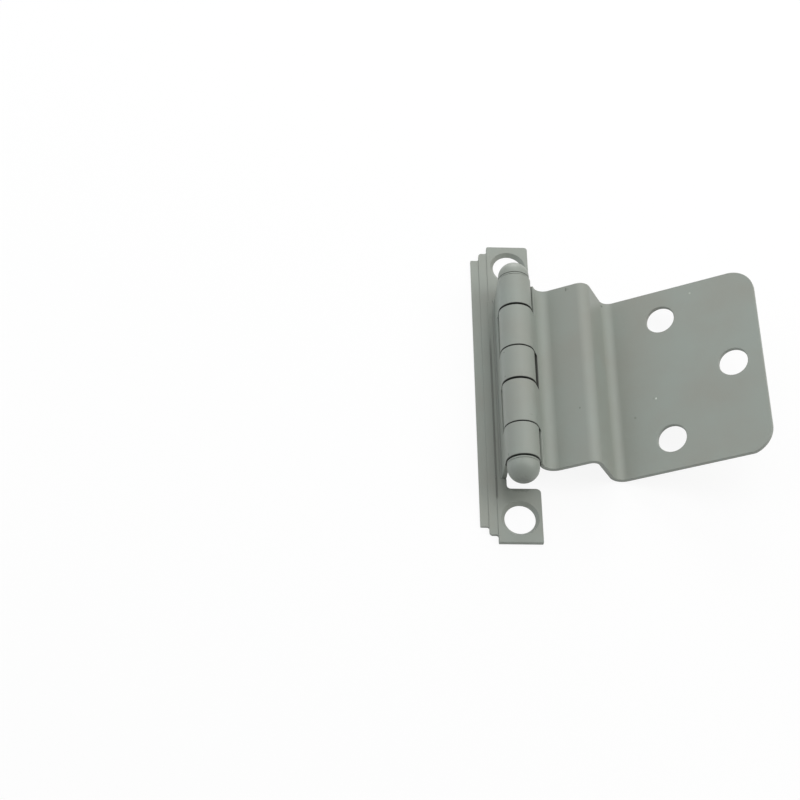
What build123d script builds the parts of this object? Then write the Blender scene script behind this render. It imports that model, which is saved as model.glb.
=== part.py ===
from build123d import *
import math
import os

# Cranked cabinet hinge, millimetres. The origin is on the mounting plane, midway between
# the two screw holes of the frame leaf. +Z points out of the mounting plane, +Y runs along
# the barrel, and +X points towards the door leaf.

# Sheet and barrel
sheet = 0.79375
barrel_radius = 3.09
middle_knuckle = 6.68
door_knuckle = 9.19
axis_height = 7.3
axis_offset = 0.15
roll_gap = 0.3
pin_clearance = 0.05
knuckle_gap = 0.225
slot_gap = 0.15
edge_break = 0.1
door_slide = -0.075
pin_slide = -0.075

# Frame leaf
frame_length = 63.5
end_length = 12.7
land_width = 7.9375
step_width = 1.5875
step_setback = 1.5875
step_drop = 0.15
frame_hole_margin = 4.7625
frame_hole_radius = 2.8
countersink_depth = 0.6
finial_room = 2.0
frame_bend_radius = 0.4
ear_corner_radius = 0.9
notch_corner_radius = 0.7
step_inside_radius = 0.4
step_corner_radius = 0.6
outer_step_corner_radius = 0.2
near_end_corner_radius = 0.15
far_end_corner_radius = 0.6
far_back_corner_radius = 0.3

# Door leaf, measured from the pin axis with the leaf level
strip_drop = 5.3
crank = 9.525
riser_reach = 11.55
leaf_reach = 29.0
neck_lean = 6.5
valley_radius = 2.0
crest_radius = 1.2
foot_radius = 1.85
tip_hole_margin = 5.45
hole_row_margin = 6.35
tip_hole_step = 12.7
door_hole_radius = 2.7
far_tip_radius = 4.6
near_tip_radius = 5.0
near_tip_kink = 15.0

# Pin and finials
finial_gap = 0.225
finial_radius = 2.9
finial_straight = 0.6
finial_dome = 2.8
dome_fullness = 0.5523
collar_length = 0.35
collar_groove = 0.12
spigot_radius = 1.2
spigot_length = 2.2
spigot_clearance = 0.01
bore_end_gap = 0.2

# Derived sizes
bore_radius = barrel_radius - sheet
web_inner = axis_offset - bore_radius
half_sheet = sheet / 2
barrel_length = frame_length - 2 * end_length
frame_hole_spacing = frame_length - 2 * frame_hole_margin
ear_inner_edge = barrel_length / 2 + finial_room
hole_row_spacing = barrel_length - 2 * hole_row_margin
crank_foot = strip_drop + crank
outer_knuckle = (barrel_length - middle_knuckle - 2 * door_knuckle) / 2
slot_depth = math.sqrt((barrel_radius + slot_gap) ** 2 - bore_radius**2)
roll_turn = 360 - math.degrees(math.acos((bore_radius - roll_gap) / barrel_radius))
door_knuckle_centre = (middle_knuckle + door_knuckle) / 2
outer_knuckle_centre = (barrel_length - outer_knuckle) / 2


def rest_angle():
    """Angle of the door leaf when the foot of its crank lies on the mounting plane."""
    foot_outside = foot_radius + sheet
    foot_across = riser_reach + foot_outside
    foot_down = crank_foot - foot_radius
    reach = math.hypot(foot_across, foot_down)
    lean = math.atan2(foot_down, foot_across)
    return math.degrees(lean - math.asin((axis_height - foot_outside) / reach))


def sheet_section(middle, heading, folds):
    """Section of the folded sheet, drawn from the middle of one cut end.

    Each fold is a straight run, the inside radius of the bend after it, and its turn
    in degrees, to the left when positive."""
    place = Vector(*middle)
    sides = {1: [], -1: []}
    ends = []
    for run, inside_radius, turn in folds:
        ahead = Vector(1, 0).rotate(Axis.Z, heading)
        left = ahead.rotate(Axis.Z, 90)
        corners = {side: place + left * (side * half_sheet) for side in sides}
        ends = ends or list(corners.values())
        bend_side = math.copysign(1, turn)
        centre = place + ahead * run + left * (bend_side * (inside_radius + half_sheet))
        for side, corner in corners.items():
            bend_start = corner + ahead * run
            arm = bend_start - centre
            bend_middle = centre + arm.rotate(Axis.Z, turn / 2)
            bend_end = centre + arm.rotate(Axis.Z, turn)
            sides[side].append(Line(corner, bend_start))
            sides[side].append(ThreePointArc(bend_start, bend_middle, bend_end))
            corners[side] = bend_end
        place = (corners[1] + corners[-1]) * 0.5
        heading += turn
    caps = [Line(ends[0], ends[1]), Line(corners[1], corners[-1])]
    return make_face(sides[1] + sides[-1] + caps)


def at_axis(shape, opening=0.0):
    """Set a shape drawn about the pin axis in its place, opened by an angle."""
    return Pos(axis_offset, 0, axis_height) * Rot(0, -opening, 0) * shape


def knuckle_slot(centre, length):
    """Room for one knuckle of the other leaf: the whole roll goes, and the web down to its slot."""
    height = slot_depth + 2 * barrel_radius
    block = Box(3 * barrel_radius, length, height, align=(Align.CENTER, Align.CENTER, Align.MIN))
    roll = Rot(90, 0, 0) * Cylinder(barrel_radius + slot_gap / 2, length)
    return Pos(0, centre, 0) * (Pos(0, 0, -slot_depth) * block + roll)


def frame_outline():
    """Plan of the frame leaf: two eared ends, stepped back edge, notch for the barrel."""
    ear_edge = land_width / 2
    corners = []
    for end in (-1, 1):
        front = near_end_corner_radius if end < 0 else far_end_corner_radius
        back = near_end_corner_radius if end < 0 else far_back_corner_radius
        half = frame_length / 2
        rows = [
            (web_inner, ear_inner_edge, notch_corner_radius),
            (ear_edge, ear_inner_edge, ear_corner_radius),
            (ear_edge, half, front),
            (-ear_edge, half, back),
            (-ear_edge, half - step_setback, step_inside_radius),
            (-ear_edge - step_width, half - step_setback, step_corner_radius),
            (-ear_edge - step_width, half - 2 * step_setback, step_inside_radius),
            (-ear_edge - 2 * step_width, half - 2 * step_setback, outer_step_corner_radius),
        ]
        corners += [(x, end * y, radius) for x, y, radius in rows][:: -end]
    points = [(x, y) for x, y, radius in corners]
    radii = [radius for x, y, radius in corners]
    return make_face(FilletPolyline(*points, radius=radii, close=True))


def frame_plate():
    """Flat of the frame leaf: broken top edges, and the back edge coined down in two steps."""
    plate = extrude(frame_outline(), amount=sheet)
    plate = chamfer(plate.faces().sort_by(Axis.Z)[-1].edges(), edge_break)
    for step in (1, 2):
        cut = Box(step_width * 3, frame_length, sheet, align=(Align.MAX, Align.CENTER, Align.MIN))
        edge = -land_width / 2 - (step - 1) * step_width
        plate -= Pos(edge, 0, sheet - step * step_drop) * cut
    return plate


def frame_leaf():
    """Frame leaf: stepped plate, web bent up between the ears, and three rolled knuckles."""
    bend_centre = -barrel_radius - frame_bend_radius
    plate = frame_plate()
    room = Box(barrel_radius, barrel_length, 3 * sheet, align=(Align.MIN, Align.CENTER, Align.CENTER))
    plate -= Pos(axis_offset + bend_centre, 0, 0) * room
    folds = [
        (sheet, frame_bend_radius, 90),
        (axis_height - sheet - frame_bend_radius, bore_radius, -roll_turn),
    ]
    section = sheet_section((bend_centre - sheet, half_sheet - axis_height), 0, folds)
    web = extrude(Plane.XZ * section, amount=barrel_length / 2, both=True)
    for end in (-1, 1):
        web -= knuckle_slot(end * door_knuckle_centre, door_knuckle)
    rims = web.edges().filter_by(GeomType.CIRCLE).group_by(SortBy.LENGTH)[-1]
    leaf = plate + at_axis(chamfer(rims, edge_break))
    for end in (-1, 1):
        leaf -= Pos(0, end * frame_hole_spacing / 2, 0) * screw_hole()
    return leaf


def screw_hole():
    """Through hole with a 45 degree countersink at the sheet's top."""
    rim = frame_hole_radius + countersink_depth
    sink = Pos(0, 0, sheet - countersink_depth / 2) * Cone(frame_hole_radius, rim, countersink_depth)
    return Cylinder(frame_hole_radius, 4 * sheet) + sink


def tip_outline():
    """Plan of the door leaf in its own plane: straight sides and two rounded tip corners."""
    end = riser_reach + sheet + leaf_reach
    half = barrel_length / 2
    start = -barrel_radius - sheet
    kink = math.radians(near_tip_kink)
    side_x = end - near_tip_radius + near_tip_radius * math.sin(kink)
    centre_y = -half + near_tip_radius * math.cos(kink)
    middle = math.radians(90 - near_tip_kink) / 2
    near_middle = (
        end - near_tip_radius + near_tip_radius * math.cos(middle),
        centre_y - near_tip_radius * math.sin(middle),
    )
    far_middle = far_tip_radius * math.sqrt(0.5)
    edges = [
        Line((start, -half), (side_x, -half)),
        ThreePointArc((side_x, -half), near_middle, (end, centre_y)),
        Line((end, centre_y), (end, half - far_tip_radius)),
        ThreePointArc(
            (end, half - far_tip_radius),
            (end - far_tip_radius + far_middle, half - far_tip_radius + far_middle),
            (end - far_tip_radius, half),
        ),
        Line((end - far_tip_radius, half), (start, half)),
        Line((start, half), (start, -half)),
    ]
    return make_face(edges)


def door_section():
    """Section of the door leaf about the pin axis, from its tip through the crank to the roll."""
    lean = math.radians(neck_lean)
    neck_to_valley = bore_radius + sheet + valley_radius
    valley_level = strip_drop - valley_radius
    neck_run = (valley_level - neck_to_valley * math.sin(lean)) / math.cos(lean)
    valley_centre = neck_to_valley * math.cos(lean) - neck_run * math.sin(lean)
    crest_centre = riser_reach - crest_radius
    folds = [
        (leaf_reach - foot_radius, foot_radius, -90),
        (crank - foot_radius - crest_radius - sheet, crest_radius, 90),
        (crest_centre - valley_centre, valley_radius, -90 - neck_lean),
        (neck_run, bore_radius, roll_turn),
    ]
    tip = (riser_reach + sheet + leaf_reach, -crank_foot - half_sheet)
    return sheet_section(tip, 180, folds)


def door_leaf():
    """Door leaf: two rolled knuckles, strip, crank and flat leaf with three screw holes."""
    strip = extrude(Plane.XZ * door_section(), amount=barrel_length, both=True)
    room = 2 * (crank_foot + sheet)
    leaf = strip & Pos(0, 0, -room / 2) * extrude(tip_outline(), amount=room)
    wide = outer_knuckle + 2 * knuckle_gap
    for end in (-1, 1):
        slot = knuckle_slot(end * (outer_knuckle_centre + knuckle_gap), wide + 2 * knuckle_gap)
        leaf -= Rot(0, neck_lean, 0) * slot
    leaf -= Rot(0, neck_lean, 0) * knuckle_slot(0, middle_knuckle + 2 * knuckle_gap)
    tip_hole = riser_reach + sheet + leaf_reach - tip_hole_margin
    row = tip_hole - tip_hole_step
    drill = Cylinder(door_hole_radius, 4 * sheet)
    for reach, across in ((row, -1), (row, 1), (tip_hole, 0)):
        leaf -= Pos(reach, across * hole_row_spacing / 2, -crank_foot) * drill
    return at_axis(Pos(0, door_slide, 0) * chamfer(leaf.edges(), edge_break), rest_angle())


def hinge_pin():
    """Pin with a shoulder and a spigot at each end."""
    length = barrel_length + 2 * finial_gap
    shank = Cylinder(bore_radius - pin_clearance, length)
    spigots = Cylinder(spigot_radius, length + 2 * spigot_length)
    return at_axis(Pos(0, pin_slide, 0) * Rot(90, 0, 0) * (shank + spigots))


def finial(end):
    """Bullet tip with a thin collar, bored for the pin's spigot."""
    collar = finial_radius - collar_groove
    top = collar_length + finial_straight + finial_dome
    straight_top = collar_length + finial_straight
    shoulder = collar_length + collar_groove
    dome = Bezier(
        (finial_radius, straight_top),
        (finial_radius, straight_top + dome_fullness * finial_dome),
        (dome_fullness * finial_radius, top),
        (0, top),
    )
    base = Polyline(
        (0, top),
        (0, 0),
        (finial_radius, 0),
        (finial_radius, collar_length - collar_groove),
        (collar, collar_length),
        (finial_radius, shoulder),
        (finial_radius, straight_top),
    )
    body = revolve(Plane.XZ * make_face([dome] + base.edges()), Axis.Z)
    depth = spigot_length + bore_end_gap
    bore = Cylinder(spigot_radius + spigot_clearance, depth, align=(Align.CENTER, Align.CENTER, Align.MIN))
    seat = end * (barrel_length / 2 + finial_gap) + pin_slide
    return at_axis(Pos(0, seat, 0) * Rot(-90 * end, 0, 0) * (body - bore))


os.makedirs("parts", exist_ok=True)
export_step(frame_leaf(), "parts/frame_leaf.step")
export_step(door_leaf(), "parts/door_leaf.step")
export_step(hinge_pin(), "parts/hinge_pin.step")
export_step(finial(-1), "parts/finial_near.step")
export_step(finial(1), "parts/finial_far.step")
print("rest angle", round(rest_angle(), 3))
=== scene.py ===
# %% [markdown]
# # A painted cabinet hinge
# The metal pieces come in as finished solids, in metres, in one shared frame. This
# script gives them their paint, sets a pale floor and soft light, and places the camera.
# The whole look of this hinge is one coat of grey-green enamel over stamped steel, so
# the work is in the paint: how matt it is, the shade painted into its seams, slots,
# corners and near tip, and the few small marks that show that it is a used hinge.

# %% Load the pieces
import math

import bmesh
import bpy
from mathutils import Matrix, Vector

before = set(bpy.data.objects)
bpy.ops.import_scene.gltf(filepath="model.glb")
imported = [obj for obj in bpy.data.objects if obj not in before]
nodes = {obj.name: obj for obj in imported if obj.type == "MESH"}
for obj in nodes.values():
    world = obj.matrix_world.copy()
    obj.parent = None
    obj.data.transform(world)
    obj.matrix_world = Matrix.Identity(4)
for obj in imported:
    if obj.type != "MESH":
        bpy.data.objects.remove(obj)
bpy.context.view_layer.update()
mm = 0.001

# %% [markdown]
# ## Where the camera stands
# The camera comes first, because it decides which marks can be seen. It looks down on
# the hinge from the near side at a steep angle, with a slight roll, through a long lens,
# so that the leaves keep almost the same width from the near end to the far end. A short
# lens would also fit the hinge in the picture, but it would spread the near end.

# %% Camera
camera_place = (-35.694 * mm, -158.695 * mm, 267.237 * mm)
camera_azimuth = 5.345
camera_elevation = 59.607
camera_roll = 5.49
camera_lens = 75.583
sensor_width = 36
nearest_seen = 10 * mm


def place_camera():
    """Camera at its place, turned from level by azimuth, elevation and roll."""
    data = bpy.data.cameras.new("camera")
    data.lens = camera_lens
    data.sensor_width = sensor_width
    data.clip_start = nearest_seen
    camera = bpy.data.objects.new("camera", data)
    bpy.context.scene.collection.objects.link(camera)
    heading = Matrix.Rotation(-math.radians(camera_azimuth), 4, "Z")
    tilt = Matrix.Rotation(math.radians(90 - camera_elevation), 4, "X")
    roll = Matrix.Rotation(math.radians(camera_roll), 4, "Z")
    camera.matrix_world = Matrix.Translation(camera_place) @ heading @ tilt @ roll
    bpy.context.scene.camera = camera
    return camera


camera = place_camera()
print("camera", [round(c / mm, 1) for c in camera.matrix_world.translation], "mm")

# %% [markdown]
# ## Helpers for colours and shader nodes
# Colours are written as the hex codes that a picture shows, and one function turns them
# into the linear values that light is worked out with. A second function adds a shader
# node with its settings and links in one call, which keeps each material short enough to
# read from top to bottom. All patterns use the piece's own coordinates, so the paint
# stays where it is when the leaf swings.

# %% Colour and node helpers


def paint_colour(code):
    """Linear colour of an sRGB hex code."""
    parts = [int(code[i : i + 2], 16) / 255 for i in (0, 2, 4)]
    linear = [p / 12.92 if p <= 0.04045 else ((p + 0.055) / 1.055) ** 2.4 for p in parts]
    return (*linear, 1)


def new_material(name):
    """Material with its node tree and the Principled shader on its output."""
    material = bpy.data.materials.new(name)
    material.use_nodes = True
    tree = material.node_tree
    return material, tree, tree.nodes["Principled BSDF"]


def add(tree, kind, settings=None, **links):
    """Add a node: settings go on it or its sockets, links join other nodes' sockets."""
    node = tree.nodes.new(kind)
    for key, value in (settings or {}).items():
        if hasattr(node, key):
            setattr(node, key, value)
        else:
            node.inputs[key.replace("_", " ")].default_value = value
    for key, source in links.items():
        tree.links.new(source, node.inputs[key.replace("_", " ")])
    return node


def math_node(tree, operation, first, second=0.0):
    """Math node on two sockets or numbers."""
    node = tree.nodes.new("ShaderNodeMath")
    node.operation = operation
    for socket, value in zip(node.inputs, (first, second)):
        if isinstance(value, (int, float)):
            socket.default_value = value
        else:
            tree.links.new(value, socket)
    return node.outputs[0]


def fade(tree, value, inner, outer):
    """1 where the value is under the inner limit, 0 past the outer one, smooth between."""
    node = add(tree, "ShaderNodeMapRange", {"interpolation_type": "SMOOTHSTEP"}, Value=value)
    node.inputs["From Min"].default_value = inner
    node.inputs["From Max"].default_value = outer
    node.inputs["To Min"].default_value = 1.0
    node.inputs["To Max"].default_value = 0.0
    return node.outputs["Result"]


def tint(tree, base, mask, code):
    """Lay a colour over a base colour where a mask is 1."""
    node = add(tree, "ShaderNodeMix", {"data_type": "RGBA"})
    tree.links.new(mask, node.inputs[0])
    tree.links.new(base, node.inputs[6])
    node.inputs[7].default_value = paint_colour(code)
    return node.outputs[2]


paint_low = "888b83"
paint_high = "8a918a"
print("paint from", [round(c, 3) for c in paint_colour(paint_low)])
print("paint to", [round(c, 3) for c in paint_colour(paint_high)])

# %% [markdown]
# ## Where a place lies on the hinge
# Grime and marks need a way to say where they are. They could be painted on an unwrapped
# picture of each leaf, but a place on a bent sheet is easier to give in millimetres: how
# far it is from the pin's axis, or from another line along the barrel, and how far along
# the barrel it is. Each helper turns the piece's coordinates into one such number, or
# into a mask, which is 1 inside and 0 outside.

# %% Helpers for places
pin_axis = (0.15 * mm, 0, 7.3 * mm)
ring_softness = 0.08
reach_softness = 0.1


def axis_distance(tree, place, point=pin_axis):
    """Distance from a line along Y, which is the pin's axis unless a point is given."""
    flat = add(tree, "ShaderNodeVectorMath", {"operation": "MULTIPLY"})
    tree.links.new(place, flat.inputs[0])
    flat.inputs[1].default_value = (1, 0, 1)
    gap = add(tree, "ShaderNodeVectorMath", {"operation": "DISTANCE"})
    tree.links.new(flat.outputs[0], gap.inputs[0])
    gap.inputs[1].default_value = point
    return gap.outputs["Value"]


def near_barrel(tree, place, reach):
    """1 up to a reach in mm from the pin's axis."""
    return fade(tree, axis_distance(tree, place), reach * mm, (reach + reach_softness) * mm)


def along_barrel(tree, place):
    """Place along Y, in metres."""
    return add(tree, "ShaderNodeSeparateXYZ", None, Vector=place).outputs["Y"]


def stretch(tree, place, start, full_from, full_to, end):
    """1 along a stretch of the barrel, soft at both ends; all four places are in mm."""
    along = along_barrel(tree, place)
    before_end = fade(tree, along, full_to * mm, end * mm)
    before_start = fade(tree, along, start * mm, full_from * mm)
    return math_node(tree, "SUBTRACT", before_end, before_start)


def both(tree, first, second, strength):
    """Two masks times each other, at a strength."""
    return math_node(tree, "MULTIPLY", math_node(tree, "MULTIPLY", first, second), strength)


print("pin's axis at x, z", [round(pin_axis[i] / mm, 2) for i in (0, 2)], "mm")

# %% [markdown]
# ## Painted shade in the seams
# The shade that falls into the seams between the knuckles is painted on, as dark rings on
# the rims next to each seam. The door leaf has slid a little towards the near end, which
# leaves every second seam wider, and the wide ones get darker painted shade, as does a
# groove on the far tip. Dark rings in the paint do this with no extra shape, and they turn
# with the leaf that they are on. Each entry gives the rings' places along the barrel,
# their half width and their strength.

# %% Seams
barrel_reach = 3.3
wide_seams = (12.38, -3.49)
near_tip_seam = (-19.2,)
narrow_seams = (3.42, -12.46)
far_tip_groove = (19.55,)


def seam_mask(centres, half, strength):
    """Mask maker: rings of painted shade round the barrel, at each of some seams."""

    def mask(tree, place):
        along = along_barrel(tree, place)
        rings = None
        for centre in centres:
            offset = math_node(tree, "SUBTRACT", along, centre * mm)
            away = math_node(tree, "ABSOLUTE", offset)
            ring = fade(tree, away, half * mm, (half + ring_softness) * mm)
            rings = ring if rings is None else math_node(tree, "MAXIMUM", rings, ring)
        return both(tree, rings, near_barrel(tree, place, barrel_reach), strength)

    return mask


seams = [
    seam_mask(wide_seams, 0.2, 1.0),
    seam_mask(near_tip_seam, 0.15, 0.85),
    seam_mask(narrow_seams, 0.08, 0.6),
]
far_tip_seams = [seam_mask(far_tip_groove, 0.06, 0.5)]
print("seams", len(wide_seams + near_tip_seam + narrow_seams), "and a groove on the far tip")

# %% [markdown]
# ## Painted shade in the slots
# The door leaf is cut away beside each knuckle of the frame leaf, and the cut floors of
# these slots lie in the barrel's shade, which is painted on as for the seams, the middle
# one darkest. Each entry gives the slot's two ends along the barrel, how far from the
# pin's axis the painted shade goes, and its strength.

# %% Slots


def slot_mask(first, last, reach, strength):
    """Mask maker: painted shade on the floor of one slot, between two places along the barrel."""

    def mask(tree, place):
        inside = stretch(tree, place, first - ring_softness, first, last, last + ring_softness)
        return both(tree, inside, near_barrel(tree, place, reach), strength)

    return mask


slots = [
    slot_mask(-3.7, 3.55, 3.86, 1.0),
    slot_mask(12.2, 19.2, 3.55, 0.95),
    slot_mask(-19.3, -12.35, 3.5, 0.95),
]
print("slots", len(slots))

# %% [markdown]
# ## Painted shade in the corners
# Thin lines of painted shade run along the frame leaf, in the corners that its inner step
# and the foot of its web make. They are strips round a line along the barrel, which
# start sharply at the near end and die away towards the far one. Each entry gives the
# line's X and Z, its half width, its near and far ends, and its strength.

# %% Corners
near_fade = 1
far_fade = 8


def corner_mask(x, z, half, near_end, far_end, strength):
    """Mask maker: a line of painted shade along Y in a corner of the frame leaf."""

    def mask(tree, place):
        distance = axis_distance(tree, place, (x * mm, 0, z * mm))
        line = fade(tree, distance, half * mm, 2 * half * mm)
        kept = stretch(tree, place, near_end, near_end + near_fade, far_end - far_fade, far_end)
        return both(tree, line, kept, strength)

    return mask


corners = [
    corner_mask(-3.97, 0.7, 0.13, -23.5, 14, 0.55),
    corner_mask(-3.12, 0.92, 0.18, -19.5, 22, 0.35),
]
print("corner lines", len(corners))

# %% [markdown]
# ## Marks of use and painted shade
# A used hinge has a few small marks, and they are kept where they are: a dark rub near
# the far edge of the strip, another in the far corner of the crank, two pale chips and
# some dark specks on the leaf, and specks and a scratch on the barrel. Wider patches of
# painted shade lie on the near tip and, as its painted shadow, on the edge of the near ear
# below it. A round spot would look drawn, so a noise with grains of 0.4 mm makes each
# edge ragged. Each entry gives the mark's place in millimetres, its half size across and
# along the hinge, its colour and how strong it is.

# %% Marks
mark_grain = 0.4 * mm
mark_full, mark_gone = 1.0, 1.7


def mark_mask(tree, place, centre, across, along):
    """Small mark or patch of painted shade with a ragged edge: an ellipsoid round its place on the
    paint.
    """
    grain = add(tree, "ShaderNodeTexNoise", {"Scale": 1 / mark_grain, "Detail": 1.0}, Vector=place)
    offset = add(tree, "ShaderNodeVectorMath", {"operation": "SUBTRACT"})
    tree.links.new(place, offset.inputs[0])
    offset.inputs[1].default_value = [c * mm for c in centre]
    scaled = add(tree, "ShaderNodeVectorMath", {"operation": "MULTIPLY"})
    tree.links.new(offset.outputs[0], scaled.inputs[0])
    scaled.inputs[1].default_value = (1 / (across * mm), 1 / (along * mm), 1 / (across * mm))
    length = add(tree, "ShaderNodeVectorMath", {"operation": "LENGTH"})
    tree.links.new(scaled.outputs[0], length.inputs[0])
    ragged = math_node(tree, "ADD", length.outputs["Value"], grain.outputs["Fac"])
    return fade(tree, ragged, mark_full, mark_gone)


door_marks = [
    ((10.03, 18.17, 6.62), 0.17, 0.42, "5a5f58", 0.8),
    ((10.40, 18.10, 6.81), 0.12, 0.28, "6a6f68", 0.45),
    ((17.62, 18.02, 1.23), 0.30, 0.30, "5a5f56", 0.7),
    ((25.65, -3.92, 4.24), 0.14, 0.22, "d5dad3", 0.8),
    ((25.22, -3.85, 4.04), 0.20, 0.25, "7c827c", 0.5),
    ((33.07, 16.70, 8.26), 0.20, 0.22, "b4b9b1", 0.6),
    ((10.95, -7.82, 7.12), 0.18, 0.20, "62675f", 0.75),
    ((21.92, -6.99, 2.22), 0.24, 0.24, "686d64", 0.6),
    ((1.66, -10.96, 9.96), 0.42, 0.14, "7d827a", 0.5),
]
frame_marks_and_shade = [
    ((-2.59, -18.51, 8.71), 0.16, 0.34, "5c615a", 0.6),
    ((-2.52, 2.54, 8.85), 0.14, 0.14, "5c615a", 0.7),
    ((-2.54, -2.53, 8.81), 0.20, 0.20, "62675f", 0.6),
    ((-2.94, 17.40, 5.59), 0.12, 0.50, "5c615a", 0.6),
    # Painted shadow of the near tip on the edge of the near ear.
    ((0.2, -21.0, 0.8), 2.6, 0.8, "4a4d48", 0.45),
]
# Painted shade on the end of the near tip.
near_tip_shade = [((0.3, -23.0, 6.4), 2.3, 1.2, "6a6e68", 0.4)]
print("marks_and_shade", len(door_marks), len(frame_marks_and_shade), len(near_tip_shade))

# %% [markdown]
# ## The paint
# This is baked enamel on steel. The hinge was dipped or sprayed, so the coat is even and
# satin. Two things keep it from looking like plastic: a very faint cloudiness some 9 mm
# wide, and a fine orange peel a little under 1 mm wide that breaks up the reflections.
# Both come from noise textures. The peel is a bump map and not geometry, because it is
# only about a hundredth of a millimetre deep. The marks are laid over the colour, as on
# the real hinge, and so is the painted shade. All the painted pieces share the recipe,
# and each has its own marks and painted shade.

# %% Paint coat
cloud_size = 9 * mm
peel_size = 0.8 * mm
peel_depth = 0.012 * mm
paint_roughness = 0.5
paint_ior = 1.5
# Colour of the painted shade in the seams, slots and corners.
painted_shade_code = "2b2d29"


def painted(name, marks_and_shade=(), painted_shade=()):
    """Baked satin enamel on steel: clouded, with a fine peel, marks and painted shade."""
    material, tree, shader = new_material(name)
    place = add(tree, "ShaderNodeTexCoord").outputs["Object"]
    cloud = add(tree, "ShaderNodeTexNoise", {"Scale": 1 / cloud_size, "Detail": 3.0}, Vector=place)
    tone = add(tree, "ShaderNodeValToRGB", None, Fac=cloud.outputs["Fac"])
    low_stop, high_stop = tone.color_ramp.elements
    low_stop.position, high_stop.position = 0.3, 0.7
    low_stop.color, high_stop.color = paint_colour(paint_low), paint_colour(paint_high)
    colour = tone.outputs["Color"]
    # Marks, and patches of painted shade among them, laid over the colour.
    for centre, across, along, code, strength in marks_and_shade:
        mask = mark_mask(tree, place, centre, across, along)
        colour = tint(tree, colour, math_node(tree, "MULTIPLY", mask, strength), code)
    # Painted shade of the seams, slots and corners laid over the colour.
    for mask_of in painted_shade:
        colour = tint(tree, colour, mask_of(tree, place), painted_shade_code)
    tree.links.new(colour, shader.inputs["Base Color"])
    peel = add(tree, "ShaderNodeTexNoise", {"Scale": 1 / peel_size, "Detail": 2.0}, Vector=place)
    depth = {"Strength": 1.0, "Distance": peel_depth}
    bump = add(tree, "ShaderNodeBump", depth, Height=peel.outputs["Fac"])
    tree.links.new(bump.outputs["Normal"], shader.inputs["Normal"])
    shader.inputs["Roughness"].default_value = paint_roughness
    shader.inputs["IOR"].default_value = paint_ior
    return material


door_paint = painted("sage_enamel_on_door_leaf", door_marks, seams + slots)
frame_paint = painted("sage_enamel_on_frame_leaf", frame_marks_and_shade, seams + corners)
near_tip_paint = painted("sage_enamel_on_near_tip", near_tip_shade)
far_tip_paint = painted("sage_enamel_on_far_tip", painted_shade=far_tip_seams)
print("paints", [m.name for m in (door_paint, frame_paint, near_tip_paint, far_tip_paint)])

# %% [markdown]
# ## The pin
# Only slivers of the pin show, down in the seams. It is drawn steel that was never
# polished and has taken on dust and stray paint, so it is dark, dull and only partly
# metallic to the eye, with patches about 1 mm wide.

# %% Pin steel
patch_size = 1 * mm
pin_metallic = 0.4
pin_roughness = 0.6


def bare_steel(name):
    """Dull steel of the pin, darkened by the dust in the seams."""
    material, tree, shader = new_material(name)
    place = add(tree, "ShaderNodeTexCoord").outputs["Object"]
    dust = add(tree, "ShaderNodeTexNoise", {"Scale": 1 / patch_size, "Detail": 2.0}, Vector=place)
    tone = add(tree, "ShaderNodeValToRGB", None, Fac=dust.outputs["Fac"])
    tone.color_ramp.elements[0].color = paint_colour("2e302c")
    tone.color_ramp.elements[1].color = paint_colour("474a44")
    tree.links.new(tone.outputs["Color"], shader.inputs["Base Color"])
    shader.inputs["Metallic"].default_value = pin_metallic
    shader.inputs["Roughness"].default_value = pin_roughness
    return material


pin_steel = bare_steel("dull_pin_steel")
print("pin wears", pin_steel.name)

# %% [markdown]
# ## Dress the pieces
# Each solid keeps its shape and its place and only gets its finish. The old slots are
# cleared first, so that no piece keeps a plain stand-in colour under its paint.

# %% Give each piece its finish
coats = {
    "door_leaf": door_paint,
    "frame_leaf": frame_paint,
    "finial_near": near_tip_paint,
    "finial_far": far_tip_paint,
    "hinge_pin": pin_steel,
}
for name, coat in coats.items():
    nodes[name].data.materials.clear()
    nodes[name].data.materials.append(coat)
    print(name, "wears", coat.name)

# %% [markdown]
# ## The paper under the hinge
# The hinge lies on plain white paper that is so bright that it shows almost no shade.
# That brightness belongs to what the camera sees and not to the light on the hinge: the
# floor's material adds white for the rays that show it to the camera, and keeps a part of
# its real shading, so that the hinge stands on a soft shadow.

# %% Floor
paper_glow = 0.9
paper_code = "f4f4f4"
paper_roughness = 0.9
paper_half_width = 2.0


def seen_directly(tree):
    """1 for the rays that show the backdrop: the camera's, and those in shine or glass."""
    path = add(tree, "ShaderNodeLightPath")
    glossy, through = path.outputs["Is Glossy Ray"], path.outputs["Is Transmission Ray"]
    shine = math_node(tree, "MAXIMUM", glossy, through)
    return math_node(tree, "MAXIMUM", path.outputs["Is Camera Ray"], shine)


def pale_floor():
    """Wide paper floor at the level that the hinge lies on, nearly white to the camera."""
    form = bmesh.new()
    bmesh.ops.create_grid(form, x_segments=1, y_segments=1, size=paper_half_width)
    mesh = bpy.data.meshes.new("floor")
    form.to_mesh(mesh)
    form.free()
    floor = bpy.data.objects.new("floor", mesh)
    bpy.context.scene.collection.objects.link(floor)
    material, tree, shader = new_material("white_paper")
    shader.inputs["Base Color"].default_value = paint_colour(paper_code)
    shader.inputs["Roughness"].default_value = paper_roughness
    glow = add(tree, "ShaderNodeEmission", {"Strength": 1.0})
    share = math_node(tree, "MULTIPLY", seen_directly(tree), paper_glow)
    mix = add(tree, "ShaderNodeMixShader", None, Fac=share)
    tree.links.new(shader.outputs[0], mix.inputs[1])
    tree.links.new(glow.outputs[0], mix.inputs[2])
    tree.links.new(mix.outputs[0], tree.nodes["Material Output"].inputs["Surface"])
    mesh.materials.append(material)
    return floor


floor = pale_floor()
print(floor.name, "of", floor.data.materials[0].name)
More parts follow.
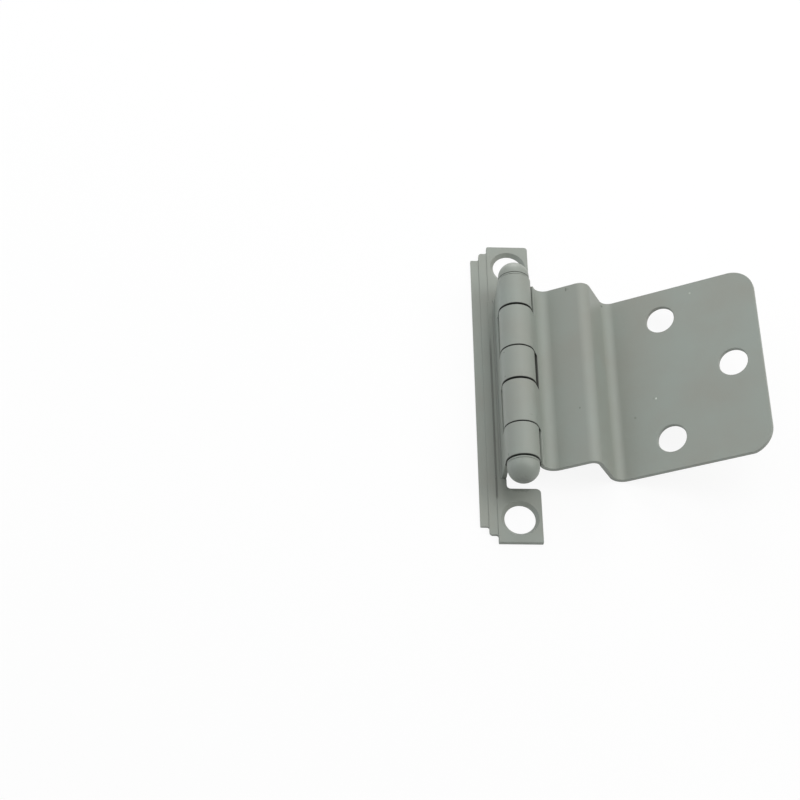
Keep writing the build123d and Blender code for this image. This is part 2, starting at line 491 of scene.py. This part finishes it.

# %% [markdown]
# ## The lamps
# The light is a main lamp nearly overhead, one from the right, one low behind the far
# end that glances along the barrel, and two weak ones on the left, of which the low one
# is a little blue. All are square soft boxes, because small lamps would draw hard shadows
# under the leaf. The near end faces away from all of them, which darkens the near tip,
# and painted shade on the tip darkens it further. Each entry gives the way to the lamp,
# its strength as a share of the light that would show a colour as written, and its colour.

# %% Lamps
full_light = 2.47
lamp_size = 0.3
lamp_distance = 0.5
aim = Vector((0.015, 0, 0.005))


def soft_lamp(name, way, strength, colour=(1, 1, 1)):
    """Square soft box that points at the hinge."""
    data = bpy.data.lights.new(name, "AREA")
    data.size = lamp_size
    data.energy = full_light * strength
    data.color = colour
    lamp = bpy.data.objects.new(name, data)
    bpy.context.scene.collection.objects.link(lamp)
    lamp.location = aim + Vector(way).normalized() * lamp_distance
    lamp.rotation_euler = (aim - lamp.location).to_track_quat("-Z", "Y").to_euler()
    return lamp


lamps = [
    soft_lamp("main_above", (0.24, 0.24, 0.94), 0.29),
    soft_lamp("right", (0.71, 0, 0.71), 0.39, (1, 0.98, 0.95)),
    soft_lamp("low_far", (0, 0.94, 0.34), 0.57),
    soft_lamp("low_left", (-0.94, 0, 0.34), 0.18, (0.82, 0.92, 1)),
    soft_lamp("left_far", (-0.61, 0.35, 0.71), 0.12),
]
print("lamps", {lamp.name: round(lamp.data.energy, 2) for lamp in lamps})

# %% [markdown]
# ## The room round it
# A dim even light from all round fills the shadows, as the walls of a small studio do.
# To the camera and in the paint's shine the room is plain white, because that is how the
# backdrop looks. The colours are shown as they come, with no film curve.

# %% Room
room_light = 0.27


def pale_room():
    """Even dim light from all round that the camera and the shine see as white."""
    world = bpy.data.worlds.new("world")
    bpy.context.scene.world = world
    world.use_nodes = True
    tree = world.node_tree
    ground = tree.nodes["Background"]
    ground.inputs["Color"].default_value = (1, 1, 1, 1)
    seen = math_node(tree, "MULTIPLY", seen_directly(tree), 1 - room_light)
    tree.links.new(math_node(tree, "ADD", seen, room_light), ground.inputs["Strength"])
    return world


world = pale_room()
bpy.context.scene.view_settings.view_transform = "Standard"
print(world.name, "with an even light of", room_light)
